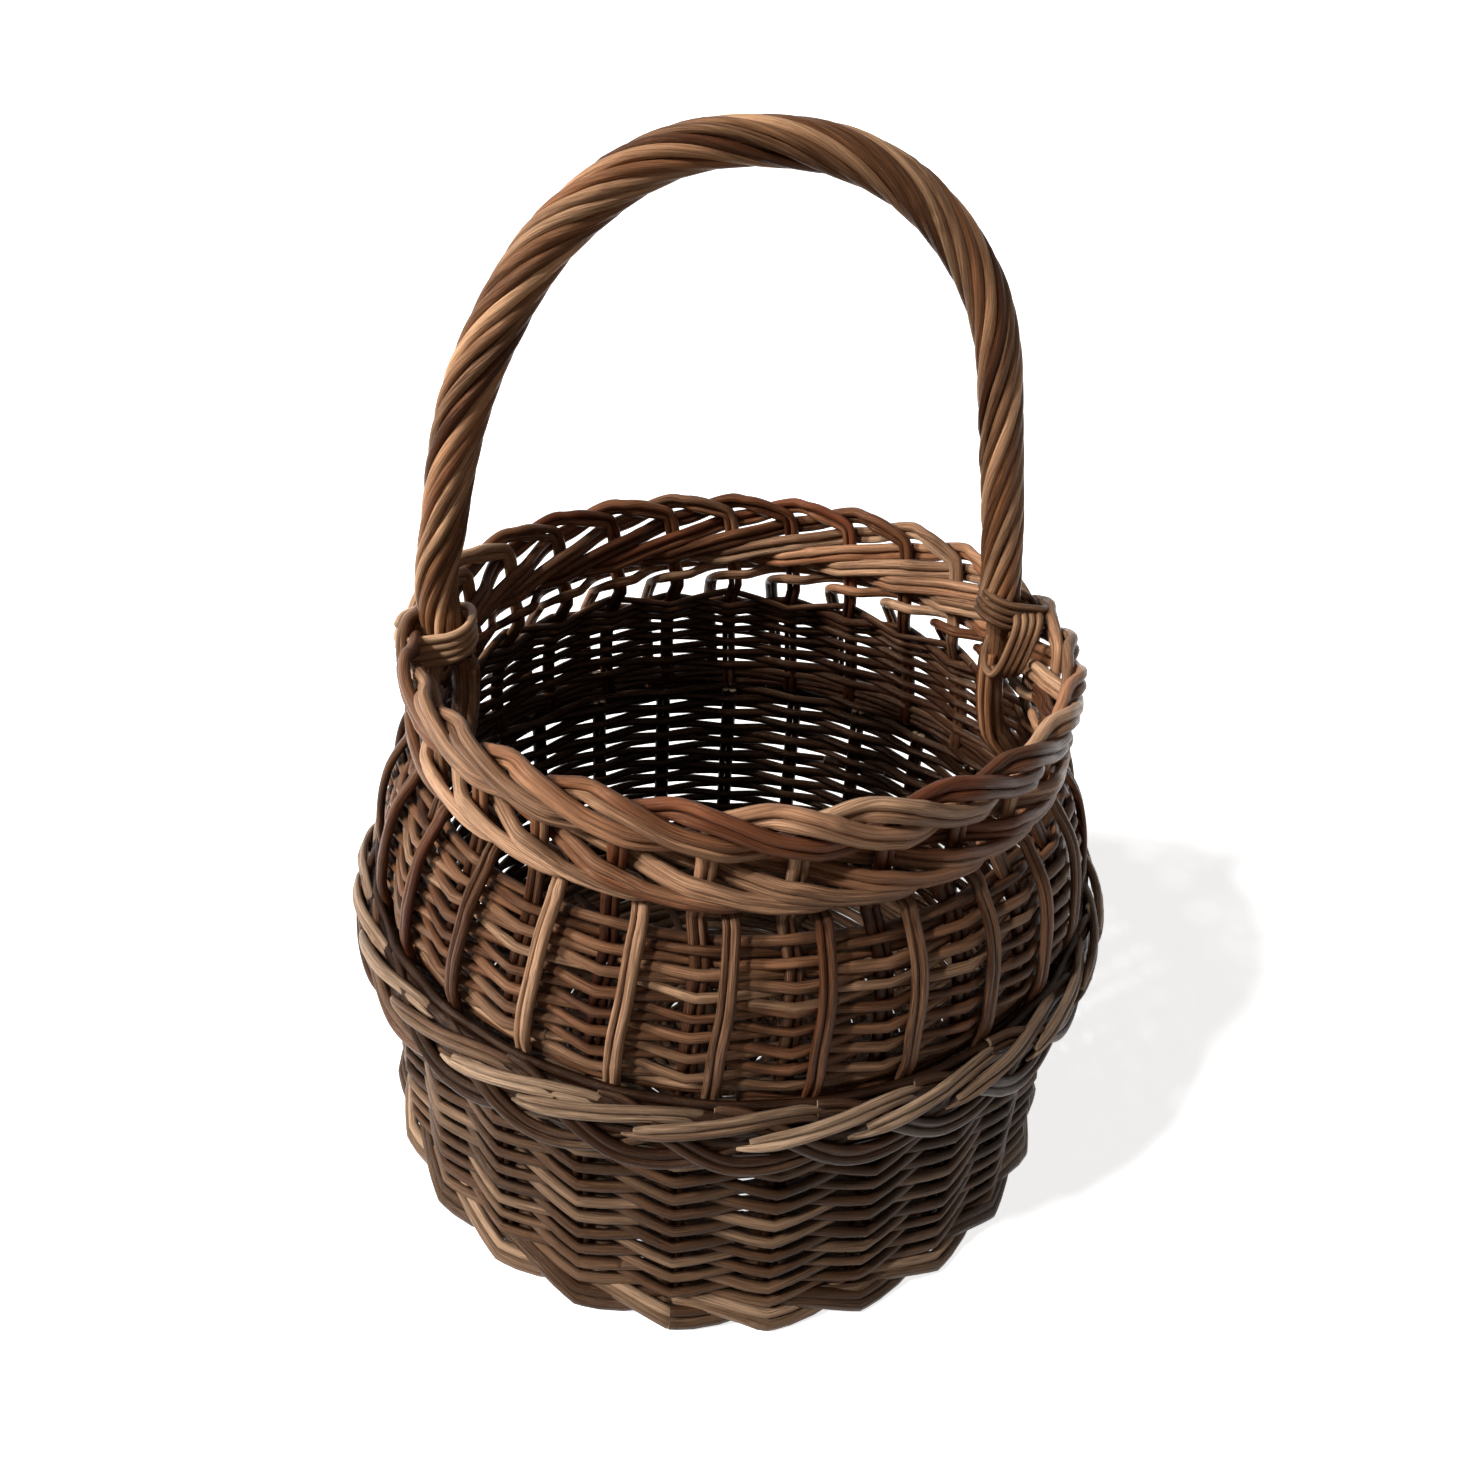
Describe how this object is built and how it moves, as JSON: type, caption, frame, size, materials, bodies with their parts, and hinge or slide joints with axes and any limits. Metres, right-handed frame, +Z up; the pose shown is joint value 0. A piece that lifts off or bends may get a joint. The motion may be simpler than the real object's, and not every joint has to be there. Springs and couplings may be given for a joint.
{
  "type": "basket",
  "caption": "Round willow basket with an open plaited neck, a waist band and a fixed roped bow handle.",
  "frame": {"origin": "centre of the bounding box on the resting plane, under the middle of the base", "axes": "+Z up through the mouth, -Y towards the front, the handle runs roughly along X"},
  "size_m": [0.3002, 0.3002, 0.3891],
  "materials": {
    "willow_weave": "varnished brown willow, satin",
    "willow_stakes": "varnished brown willow, satin",
    "willow_band": "varnished grey-brown willow, satin",
    "willow_base": "varnished dark brown willow, satin",
    "willow_handle": "varnished brown willow, satin with worn highlights",
    "willow_lashing": "varnished light brown willow, satin"
  },
  "bodies": {
    "root": {"base_foot_wale": "willow_base", "base_stick_cross": "willow_base", "base_weave": "willow_base", "handle_core": "willow_handle", "handle_roping": "willow_handle", "left_lashing": "willow_lashing", "lower_side_weave": "willow_weave", "right_lashing": "willow_lashing", "stake_pair_01": "willow_stakes", "stake_pair_02": "willow_stakes", "stake_pair_03": "willow_stakes", "stake_pair_04": "willow_stakes", "stake_pair_05": "willow_stakes", "stake_pair_06": "willow_stakes", "stake_pair_07": "willow_stakes", "stake_pair_08": "willow_stakes", "stake_pair_09": "willow_stakes", "stake_pair_10": "willow_stakes", "stake_pair_11": "willow_stakes", "stake_pair_12": "willow_stakes", "stake_pair_13": "willow_stakes", "stake_pair_14": "willow_stakes", "stake_pair_15": "willow_stakes", "stake_pair_16": "willow_stakes", "stake_pair_17": "willow_stakes", "stake_pair_18": "willow_stakes", "stake_pair_19": "willow_stakes", "stake_pair_20": "willow_stakes", "stake_pair_21": "willow_stakes", "stake_pair_22": "willow_stakes", "stake_pair_23": "willow_stakes", "stake_pair_24": "willow_stakes", "stake_pair_25": "willow_stakes", "stake_pair_26": "willow_stakes", "stake_pair_27": "willow_stakes", "upper_side_weave": "willow_weave", "waist_band": "willow_band"}
  },
  "joints": []
}
